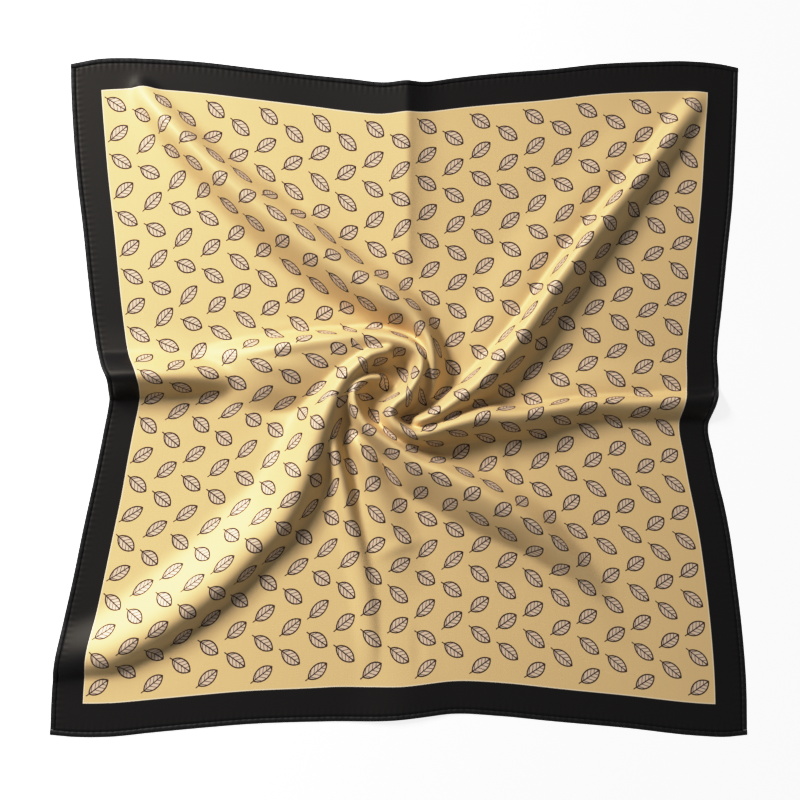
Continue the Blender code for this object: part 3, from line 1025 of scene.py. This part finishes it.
@dataclass(frozen=True)
class LitFloor(Finish):
    """The studio's pale floor, which gives off some light as a lit floor does.

    Attributes:
        colour: its colour, and that of the light that it gives off.
        roughness: its roughness.
        shine: how strongly its surface throws back light.
        glow: how much light it gives off.
    """

    colour: Colour = (0.93, 0.93, 0.93, 1.0)
    roughness: float = 0.9
    shine: float = 0.1
    glow: float = 0.62

    def shading(self, wires: Wiring) -> Fed:
        """Return what the shader is fed."""
        return {
            "Base Color": self.colour,
            "Roughness": self.roughness,
            "Specular IOR Level": self.shine,
            "Emission Color": self.colour,
            "Emission Strength": self.glow,
        }


SATIN_FACE = PrintedSatin("printed gold satin")
SATIN_REVERSE = PrintedSatin("printed gold satin, reverse", depth=0.55, roughness=0.65, metal=0.05)
HEM_CLOTH = HemSatin("black hem satin")
HEM_THREAD = HemSatin("black sewing thread", colour=(0.006, 0.0055, 0.006, 1.0), roughness=0.75)
PALE_FLOOR = LitFloor("pale floor")


# ---- The scarf ----


def placed(name: str, data: bpy.types.ID) -> bpy.types.Object:
    """Make an object at the origin.

    Args:
        name: its name.
        data: its mesh, light or camera.

    Returns:
        The object, linked to the scene.
    """
    made = bpy.data.objects.new(name, data)
    bpy.context.scene.collection.objects.link(made)
    return made


def new_piece(name: str, bm: bmesh.types.BMesh, *materials: bpy.types.Material) -> bpy.types.Object:
    """Make a smooth-shaded object of a bmesh, at the origin.

    Args:
        name: the piece's name.
        bm: its shape, which is freed.
        materials: its materials, in their slots' order.

    Returns:
        The object, linked to the scene.
    """
    mesh = bpy.data.meshes.new(name)
    bm.to_mesh(mesh)
    bm.free()
    for material in materials:
        mesh.materials.append(material)
    mesh.shade_smooth()
    return placed(name, mesh)


def report(piece: bpy.types.Object) -> None:
    """Log a piece's name and how many faces it has.

    Args:
        piece: the piece.
    """
    finished = piece.evaluated_get(bpy.context.evaluated_depsgraph_get())
    LOG.info("%s: %d faces", piece.name, len(finished.to_mesh().polygons))
    finished.to_mesh_clear()


class Links(NamedTuple):
    """The threads between neighbours in one direction, each with its woven length."""

    near: tuple[slice, slice]
    far: tuple[slice, slice]
    rest: Array
    stiffness: float


@dataclass
class SatinSquare:
    """The scarf's square of printed satin, laid over the folds.

    Attributes:
        surface: the folds that it lies on.
        outline: its outline there.
        side: the hemmed square's side.
        cells: how many cells the sheet has each way.
        crowding: how much closer its rows lie at the whirl than at the hems.
        tuck: how far in from the outline the sheet starts, inside the hems' rolls.
        thickness: the satin's thickness.
        lift: how far the sheet's underside lies over the surface.
        passes: how often rows are shared out and threads pulled on each grid, coarse to fine.
        share: how much of each thread's error one pull takes away.
        momentum: how much of the last pull's move is kept.
        push_stiffness: how stiff a thread is when it is pushed, against when it is pulled.
        bias_stiffness: how stiff the cloth is on its diagonals, against its threads.
        least_area: a cell under this share of the smallest flat one is opened out.
        opening_passes: how often that is done at most.
    """

    surface: FoldedSurface
    outline: Outline
    side: float = FINISHED_SIDE
    cells: int = 220
    crowding: float = 0.40
    tuck: float = 3.2
    thickness: float = 0.4
    lift: float = 0.1
    passes: tuple[tuple[int, int], ...] = ((30, 100), (10, 100), (5, 100))
    share: float = 0.4
    momentum: float = 0.5
    push_stiffness: float = 0.5
    bias_stiffness: float = 0.25
    least_area: float = 0.12
    opening_passes: int = 60

    def rows(self, cells: int) -> Array:
        """Return where on the flat cloth the sheet's rows lie, in millimetres."""
        even = np.linspace(0.0, 1.0, cells + 1)
        crowded = even + self.crowding * np.sin(2 * math.pi * even) / (2 * math.pi)
        return self.tuck + (self.side - 2 * self.tuck) * crowded

    def gaps(self, place: Array) -> Array:
        """Return how far apart the rows of a grid of places are woven."""
        return np.diff(self.rows(len(place) - 1))

    def links(self, place: Array) -> list[Links]:
        """Return the sheet's threads along both weaves and both diagonals.

        A row of threads that the folds leave too little room, or too much, shares that evenly
        along its whole length.

        Args:
            place: where each crossing of threads lies, shape (n, n, 3).

        Returns:
            The threads in each of the four directions.
        """
        gaps = self.gaps(place)
        found_x = np.linalg.norm(place[1:] - place[:-1], axis=-1).sum(axis=0) / gaps.sum()
        found_y = np.linalg.norm(place[:, 1:] - place[:, :-1], axis=-1).sum(axis=1) / gaps.sum()
        along_x = gaps[:, None] * found_x[None, :]
        along_y = found_y[:, None] * gaps[None, :]
        bias = np.hypot(
            (along_x[:, :-1] + along_x[:, 1:]) / 2,
            (along_y[:-1] + along_y[1:]) / 2,
        )
        whole, early, late = slice(None), slice(None, -1), slice(1, None)
        return [
            Links((early, whole), (late, whole), along_x, 1.0),
            Links((whole, early), (whole, late), along_y, 1.0),
            Links((early, early), (late, late), bias, self.bias_stiffness),
            Links((early, late), (late, early), bias, self.bias_stiffness),
        ]

    def share_out(self, plan: Array) -> Array:
        """Move each row's crossings along it, half way to their woven share of its length.

        Args:
            plan: where each crossing of threads lies, shape (n, n, 2).

        Returns:
            The new places.
        """
        rows = self.rows(len(plan) - 1)
        wanted = (rows - rows[0]) / (rows[-1] - rows[0])
        for _ in ("rows along x", "rows along y"):
            place = self.surface.places(plan)
            steps = np.linalg.norm(np.diff(place, axis=0), axis=-1)
            along = np.vstack((np.zeros(len(plan)), np.cumsum(steps, axis=0)))
            shared = plan.copy()
            for j in range(1, len(plan) - 1):
                places = wanted * along[-1, j]
                for axis in (0, 1):
                    shared[:, j, axis] = np.interp(places, along[:, j], plan[:, j, axis])
            plan = ((plan + shared) / 2).swapaxes(0, 1)
        return plan

    def pull_straight(self, plan: Array, passes: int) -> Array:
        """Slide the sheet over the surface, to bring its threads near their woven lengths.

        Args:
            plan: where each crossing of threads lies, shape (n, n, 2); its rim stays.
            passes: how often every thread is pulled.

        Returns:
            The new places.
        """
        inner = (slice(1, -1), slice(1, -1))
        moved = np.zeros_like(plan)
        for _ in range(passes):
            height, slope = self.surface.read(plan)
            place = np.concatenate((plan, height[..., None]), axis=-1)
            pull = np.zeros_like(place)
            for near, far, rest, stiffness in self.links(place):
                run = place[far] - place[near]
                excess = 1 - rest / np.linalg.norm(run, axis=-1)
                excess = np.where(excess < 0, self.push_stiffness * excess, excess)
                step = (0.5 * stiffness * excess)[..., None] * run
                pull[near] += step
                pull[far] -= step
            normal = np.concatenate((-slope, np.ones_like(height)[..., None]), axis=-1)
            lean = (pull * normal).sum(-1) / (normal * normal).sum(-1)
            slide = (pull - lean[..., None] * normal)[..., :2]
            moved[inner] = self.share * slide[inner] + self.momentum * moved[inner]
            plan = plan + moved
        return plan

    def open_out(self, plan: Array) -> Array:
        """Spread the few cells that were pushed over each other on the steepest flanks.

        Args:
            plan: where each crossing of threads lies, shape (n, n, 2).

        Returns:
            The new places.
        """
        for _ in range(self.opening_passes):
            across = plan[1:, :-1] - plan[:-1, :-1]
            along = plan[:-1, 1:] - plan[:-1, :-1]
            area = across[..., 0] * along[..., 1] - across[..., 1] * along[..., 0]
            tight = area < self.least_area * self.gaps(plan).min() ** 2
            if not tight.any():
                break
            held = np.zeros(plan.shape[:2], bool)
            for i, j in ((0, 0), (0, 1), (1, 0), (1, 1)):
                held[i : i + len(tight), j : j + len(tight)] |= tight
            held[[0, -1]] = held[:, [0, -1]] = False
            i, j = np.nonzero(held)
            plan[i, j] = (plan[i - 1, j] + plan[i + 1, j] + plan[i, j - 1] + plan[i, j + 1]) / 4
        return plan

    def lie(self) -> Array:
        """Return where each crossing of threads comes to lie in plan, shape (n, n, 2)."""
        cells = self.cells // 2 ** (len(self.passes) - 1)
        plan = None
        for sharings, pulls in self.passes:
            rows = self.rows(cells) / self.side
            laid = self.outline.inside(rows[:, None], rows[None, :])
            if plan is not None:
                laid[1:-1, 1:-1] = self.finer(plan)[1:-1, 1:-1]
            plan = laid
            for _ in range(sharings):
                plan = self.share_out(plan)
            plan = self.pull_straight(plan, pulls)
            cells *= 2
        return self.open_out(plan)

    @staticmethod
    def finer(plan: Array) -> Array:
        """Make a grid of places twice as fine.

        Args:
            plan: the places, shape (n, n, ...).

        Returns:
            The grid with one more place between each two.
        """
        for _ in range(2):
            count = len(plan)
            wide = np.empty((2 * count - 1, *plan.shape[1:]))
            wide[::2] = plan
            wide[1::2] = (plan[:-1] + plan[1:]) / 2
            plan = wide.swapaxes(0, 1)
        return plan

    def strain(self, plan: Array) -> tuple[float, float]:
        """Measure how far the threads along x are off their woven length.

        Args:
            plan: where each crossing of threads lies, shape (n, n, 2).

        Returns:
            The mean and the largest share of their length.
        """
        place, gaps = self.surface.places(plan), self.gaps(plan)
        steps = np.linalg.norm(place[1:] - place[:-1], axis=-1)
        errors = abs(steps / gaps[:, None] - 1)
        return float(errors.mean()), float(errors.max())

    def build(self) -> bpy.types.Object:
        """Return the square of satin as a thin shell."""
        plan = self.lie()
        mean, most = self.strain(plan)
        LOG.info("threads along x: off their length by %.3f on average, %.2f at most", mean, most)
        places = (self.surface.places(plan) + (0.0, 0.0, self.lift)) * MM
        rows = self.rows(self.cells) * MM
        bm = bmesh.new()
        bmesh.ops.create_grid(bm, x_segments=self.cells, y_segments=self.cells, size=0.5)
        flat = bm.loops.layers.uv.new(UV_LAYER)
        spot = {}
        for vert in bm.verts:
            i = round((vert.co.x + 0.5) * self.cells)
            j = round((vert.co.y + 0.5) * self.cells)
            spot[vert] = (rows[i], rows[j])
            vert.co = places[i, j]
        for face in bm.faces:
            for loop in face.loops:
                loop[flat].uv = spot[loop.vert]
        piece = new_piece("satin_square", bm, SATIN_FACE.material(), SATIN_REVERSE.material())
        shell = piece.modifiers.new("satin thickness", "SOLIDIFY")
        shell.thickness = self.thickness * MM
        shell.offset = 1.0
        shell.material_offset = 1
        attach(piece, BODY)
        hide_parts("square_cloth_panel")
        return piece


@dataclass
class RolledHem:
    """One hand-rolled hem: a soft flat roll, drawn in a little at each stitch.

    Attributes:
        name: the piece's name.
        node: the solid that it stands for.
        side: the side of the square that it runs along.
        surface: the folds that it lies on.
        outline: the square's outline.
        full: whether it runs from corner to corner, or stops at the other hems.
        seed: starts its stitches' random places, and its swells.
        width: how wide the roll is.
        height: how high it is.
        step: how far apart its sections are.
        pinch_reach: how far along the hem a stitch draws it in.
        pinch_in: the share of its height that a stitch takes.
        pinch_narrow: the share of its width that a stitch takes.
        unevenness: how far a stitch strays from its place.
        swell: the share of its height by which the roll swells and thins.
        swell_turn: how fast that goes along the hem, in radians for a millimetre.
        gap: what is left free between the ends of two hems.
    """

    name: str
    node: str
    side: Side
    surface: FoldedSurface
    outline: Outline
    full: bool
    seed: int
    width: float = HEM_WIDTH
    height: float = HEM_HEIGHT
    step: float = 0.9
    pinch_reach: float = 1.3
    pinch_in: float = 0.10
    pinch_narrow: float = 0.05
    unevenness: float = 0.6
    swell: float = 0.10
    swell_turn: float = 0.31
    gap: float = 0.1

    # The roll's section: how far across its width and up its height each point lies.
    SECTION = (
        (0.0, 0.45), (0.05, 0.15), (0.20, 0.0), (0.80, 0.0), (0.97, 0.12),
        (1.0, 0.38), (0.94, 0.72), (0.72, 0.95), (0.42, 1.0), (0.14, 0.84),
    )

    def shares(self, along: Array, depth: Array) -> tuple[Array, Array]:
        """Find places of the hem in the outline.

        Args:
            along: how far along the edge each lies.
            depth: how far in from it.

        Returns:
            The outline's u and v for each.
        """
        share, inward = along / FINISHED_SIDE, depth / FINISHED_SIDE
        return {
            Side.BACK: (share, 1 - inward),
            Side.FRONT: (share, inward),
            Side.LEFT: (inward, share),
            Side.RIGHT: (1 - inward, share),
        }[self.side]

    def points(self, along: Array, depth: float) -> Array:
        """Return places on the surface, in millimetres, at one depth in from the edge."""
        shares = self.shares(along, np.full_like(along, depth))
        return self.surface.places(self.outline.inside(*shares))

    def ends(self) -> tuple[float, float]:
        """Return where along the edge the hem starts and stops."""
        inset = 0.0 if self.full else self.width + self.gap
        return inset, FINISHED_SIDE - inset

    def stitch_places(self) -> Array:
        """Return how far along the edge each stitch is sewn."""
        start, stop = self.ends()
        count = int((stop - start) / STITCH_SPACING)
        even = start + (np.arange(count) + 0.5) * (stop - start) / count
        stray = np.random.default_rng(self.seed).uniform(-self.unevenness, self.unevenness, count)
        return even + stray

    def frame_at(self, along: Array) -> tuple[Array, Array, Array]:
        """Find how the hem lies at places along it.

        Args:
            along: how far along the edge each lies, shape (n,).

        Returns:
            Its outer line, the way across it and the way up, shape (n, 3) each.
        """
        outer = self.points(along, 0.0)
        over = self.points(along, self.width) - outer
        run = np.gradient(outer, axis=0)
        up = np.cross(run, over)
        up *= np.sign(up[:, 2:]) / np.linalg.norm(up, axis=1)[:, None]
        return outer, over, up

    def build(self) -> bpy.types.Object:
        """Return the hem as a closed soft tube."""
        start, stop = self.ends()
        along = np.linspace(start, stop, int((stop - start) / self.step) + 1)
        outer, over, up = self.frame_at(along)
        stitches = self.stitch_places()
        apart = (along[:, None] - stitches[None, :]) / self.pinch_reach
        pinch = np.exp(-(apart**2)).sum(axis=1)[:, None]
        puff = 1.0 + self.swell * np.sin(along * self.swell_turn + self.seed)[:, None]
        corners = []
        for way, rise in self.SECTION:
            across = way * (1 - self.pinch_narrow * pinch)
            lifted = rise * (puff - self.pinch_in * pinch)
            corners.append((outer + over * across + up * self.height * lifted) * MM)
        count = len(self.SECTION)
        bm = bmesh.new()
        rings = [[bm.verts.new(corner[i]) for corner in corners] for i in range(len(along))]
        for ring, after in zip(rings[:-1], rings[1:]):
            for i in range(count):
                j = (i + 1) % count
                bm.faces.new((ring[i], ring[j], after[j], after[i]))
        bm.faces.new(rings[0])
        bm.faces.new(rings[-1])
        bmesh.ops.recalc_face_normals(bm, faces=bm.faces)
        piece = new_piece(self.name, bm, HEM_CLOTH.material())
        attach(piece, BODY)
        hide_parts(self.node)
        return piece


class ThreadSetting(Enum):
    """The inputs of the stitches' node tree, with their values in metres and radians."""

    LENGTH = ("Length", 0.0022)
    THICKNESS = ("Thickness", 0.00032)
    SLANT = ("Slant", 0.75)
    UNEVENNESS = ("Unevenness", 0.18)


@dataclass
class HemStitches:
    """The slanting stitches that catch a hem down to the cloth.

    Attributes:
        hem: the hem that they sew.
        name: the piece's name.
        across: how far over the hem's width a stitch's middle lies.
        rise: how far up the hem's height it lies.
    """

    hem: RolledHem
    name: str
    across: float = 0.93
    rise: float = 0.30

    @staticmethod
    def tree() -> bpy.types.NodeTree:
        """Return the node tree that puts a stitch on each point of its mesh."""
        name = "slanting stitches"
        if name in bpy.data.node_groups:
            return bpy.data.node_groups[name]
        tree = bpy.data.node_groups.new(name, "GeometryNodeTree")
        inputs = {"Geometry": "Geometry", "Seed": "Int", "Thread": "Material"}
        inputs |= {setting.value[0]: "Float" for setting in ThreadSetting}
        for label, kind in inputs.items():
            tree.interface.new_socket(label, in_out="INPUT", socket_type=f"NodeSocket{kind}")
        tree.interface.new_socket("Geometry", in_out="OUTPUT", socket_type="NodeSocketGeometry")
        wires = Wiring(tree)
        given = wires.node("NodeGroupInput").outputs

        # One thread, 1 long and 1 thick, which each stitch scales to its own size.
        round_thread = {"Segments": 6, "Rings": 4, "Radius": 0.5}
        thread = wires.node("GeometryNodeMeshUVSphere", round_thread).outputs["Mesh"]
        lying = {"Geometry": thread, "Rotation": (0.0, math.pi / 2, 0.0)}
        lay = wires.node("GeometryNodeTransform", lying)
        sizes = {0: given["Length"], 1: given["Thickness"], 2: given["Thickness"]}
        size = wires.node("ShaderNodeCombineXYZ", sizes)

        # It lies along the hem's run, with its upper side to the hem's.
        vector = "GeometryNodeInputNamedAttribute"
        run, up = (
            wires.node(vector, {"Name": label}, data_type="FLOAT_VECTOR").outputs["Attribute"]
            for label in ("run", "up")
        )
        align = "FunctionNodeAlignRotationToVector"
        facing = wires.node(align, {"Vector": run}, axis="X")
        upright = {"Rotation": facing.outputs[0], "Vector": up}
        level = wires.node(align, upright, axis="Z", pivot_axis="X")

        # It slants over the hem, each stitch a little otherwise than the last.
        least, most = wires.times(given["Unevenness"], -1.0), given["Unevenness"]
        spread = {RANDOM_LEAST: least, RANDOM_MOST: most, "Seed": given["Seed"]}
        stray = wires.node("FunctionNodeRandomValue", spread, data_type="FLOAT")
        angle = wires.plus(given["Slant"], stray.outputs[RANDOM_VALUE])
        turn = {"Axis": (0.0, 0.0, 1.0), "Angle": angle}
        about = wires.node("FunctionNodeAxisAngleToRotation", turn)
        turned = {"Rotation": level.outputs[0], "Rotate By": about.outputs[0]}
        slanted = wires.node("FunctionNodeRotateRotation", turned, rotation_space="LOCAL")

        stitch = {
            "Points": given["Geometry"],
            "Instance": lay.outputs["Geometry"],
            "Rotation": slanted.outputs[0],
            "Scale": size.outputs[0],
        }
        sewn = wires.node("GeometryNodeInstanceOnPoints", stitch).outputs["Instances"]
        real = wires.node("GeometryNodeRealizeInstances", {"Geometry": sewn}).outputs["Geometry"]
        dressed = {"Geometry": real, "Material": given["Thread"]}
        dress = wires.node("GeometryNodeSetMaterial", dressed)
        wires.node("NodeGroupOutput", {"Geometry": dress.outputs["Geometry"]})
        return tree

    def spots(self) -> bpy.types.Object:
        """Return an object with a point at each stitch, and its ways along and up."""
        along = self.hem.stitch_places()
        outer, over, up = self.hem.frame_at(along)
        places = (outer + over * self.across + up * self.hem.height * self.rise) * MM
        run = np.gradient(outer, axis=0)
        run /= np.linalg.norm(run, axis=1)[:, None]
        mesh = bpy.data.meshes.new(self.name)
        mesh.from_pydata(places.tolist(), [], [])
        for name, values in (("run", run), ("up", up)):
            layer = mesh.attributes.new(name, "FLOAT_VECTOR", "POINT")
            layer.data.foreach_set("vector", values.ravel())
        return placed(self.name, mesh)

    def build(self) -> bpy.types.Object:
        """Return the hem's stitches as one plain mesh."""
        piece = self.spots()
        tree = self.tree()
        sewing = piece.modifiers.new("stitches", "NODES")
        sewing.node_group = tree
        keys = {item.name: item.identifier for item in tree.interface.items_tree}
        for setting in ThreadSetting:
            label, value = setting.value
            sewing[keys[label]] = value
        sewing[keys["Seed"]] = self.hem.seed
        sewing[keys["Thread"]] = HEM_THREAD.material()
        depsgraph = bpy.context.evaluated_depsgraph_get()
        mesh = bpy.data.meshes.new_from_object(piece.evaluated_get(depsgraph))
        piece.modifiers.remove(sewing)
        piece.data = mesh
        mesh.name = self.name
        mesh.shade_smooth()
        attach(piece, BODY)
        return piece


# ---- The studio ----


class Light(NamedTuple):
    """One soft light: where it hangs, the place that it faces, its width and its strength."""

    name: str
    place: tuple[float, float, float]
    aim: tuple[float, float, float]
    width: float
    watts: float


class TonePoint(NamedTuple):
    """One point of the camera's tone curve: how bright it shows a light."""

    light: float
    shown: float


# The light that the camera shows as white, and the curve between black and white.
WHITE_LIGHT = 1.25
TONE_CURVE = tuple(
    TonePoint(*pair)
    for pair in (
        (0.05, 0.052), (0.10, 0.11), (0.20, 0.235), (0.30, 0.385), (0.40, 0.545), (0.50, 0.695),
        (0.60, 0.81), (0.70, 0.88), (0.80, 0.915), (0.95, 0.94), (1.10, 0.96),
    )
)


@dataclass
class Studio:
    """The plain pale floor, the soft light and the camera.

    Attributes:
        aim: the point of the floor in the middle of the picture, in metres as are all places.
        distance: how far off the camera stands.
        lean: how far the camera leans towards the front, as the cosine of its elevation.
        lens: its focal length in millimetres.
        sensor: its sensor's width in millimetres.
        sight: how far it sees, in metres.
        floor_size: the floor's side.
        ambient: the strength of the light from all round.
        lights: the lights.
        tone: the camera's tone curve, between black and white.
    """

    aim: tuple[float, float, float] = (-0.0008, -0.0093, 0.0)
    distance: float = 1.7
    lean: float = 0.10
    lens: float = 76.5
    sensor: float = 36.0
    sight: float = 50.0
    floor_size: float = 8.0
    ambient: float = 0.14
    lights: tuple[Light, ...] = (
        Light("window", (-1.80, 1.72, 1.88), (-3.0, 0.2, 0.0), 1.35, 195.0),
    )
    tone: tuple[TonePoint, ...] = TONE_CURVE

    def floor(self) -> bpy.types.Object:
        """Return the floor, a plain plane under the scarf."""
        bm = bmesh.new()
        bmesh.ops.create_grid(bm, x_segments=1, y_segments=1, size=self.floor_size / 2)
        floor = new_piece("floor", bm, PALE_FLOOR.material())
        return floor

    def hang(self, light: Light) -> None:
        """Hang one soft light, facing its aim.

        Args:
            light: the light.
        """
        lamp = bpy.data.lights.new(light.name, "AREA")
        lamp.shape = "DISK"
        lamp.size = light.width
        lamp.energy = light.watts
        hung = placed(light.name, lamp)
        hung.location = light.place
        way = Vector(light.aim) - Vector(light.place)
        hung.rotation_euler = way.to_track_quat("-Z", "Y").to_euler()

    def camera(self) -> None:
        """Stand the camera where the photograph was taken from."""
        lens = bpy.data.cameras.new("camera")
        lens.lens = self.lens
        lens.sensor_width = self.sensor
        lens.clip_end = self.sight
        camera = placed("camera", lens)
        way = Vector((0.0, -self.lean, math.sqrt(1 - self.lean**2)))
        camera.location = Vector(self.aim) + way * self.distance
        camera.rotation_euler = (math.atan2(self.lean, way.z), 0.0, 0.0)
        bpy.context.scene.camera = camera

    def build(self) -> None:
        """Set up floor, lights, world and camera."""
        self.floor()
        for light in self.lights:
            self.hang(light)
        world = bpy.data.worlds.new("studio")
        world.use_nodes = True
        background = world.node_tree.nodes["Background"]
        background.inputs["Color"].default_value = (1.0, 1.0, 1.0, 1.0)
        background.inputs["Strength"].default_value = self.ambient
        bpy.context.scene.world = world
        view = bpy.context.scene.view_settings
        view.view_transform = "Standard"
        view.use_curve_mapping = True
        view.curve_mapping.white_level = (WHITE_LIGHT, WHITE_LIGHT, WHITE_LIGHT)
        curve = view.curve_mapping.curves[ALL_CHANNELS]
        for point in self.tone:
            curve.points.new(point.light / WHITE_LIGHT, point.shown)
        view.curve_mapping.update()
        self.camera()


def main() -> None:
    logging.basicConfig(level=logging.INFO, format="%(name)s: %(message)s")
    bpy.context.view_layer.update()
    Studio().build()
    surface = FoldedSurface()
    outline = Outline(surface)
    cloth = SatinSquare(surface, outline).build()
    report(cloth)
    sewn = []
    for number, side in enumerate(Side, start=1):
        label = side.name.lower()
        full = side in (Side.BACK, Side.FRONT)
        hem = RolledHem(
            f"rolled_hem_{label}", f"hem_{label}", side, surface, outline, full, seed=number
        )
        piece = hem.build()
        stitches = HemStitches(hem, f"stitches_{label}").build()
        sewn += [piece, stitches]
        report(piece)
        report(stitches)


if __name__ == "__main__":
    main()
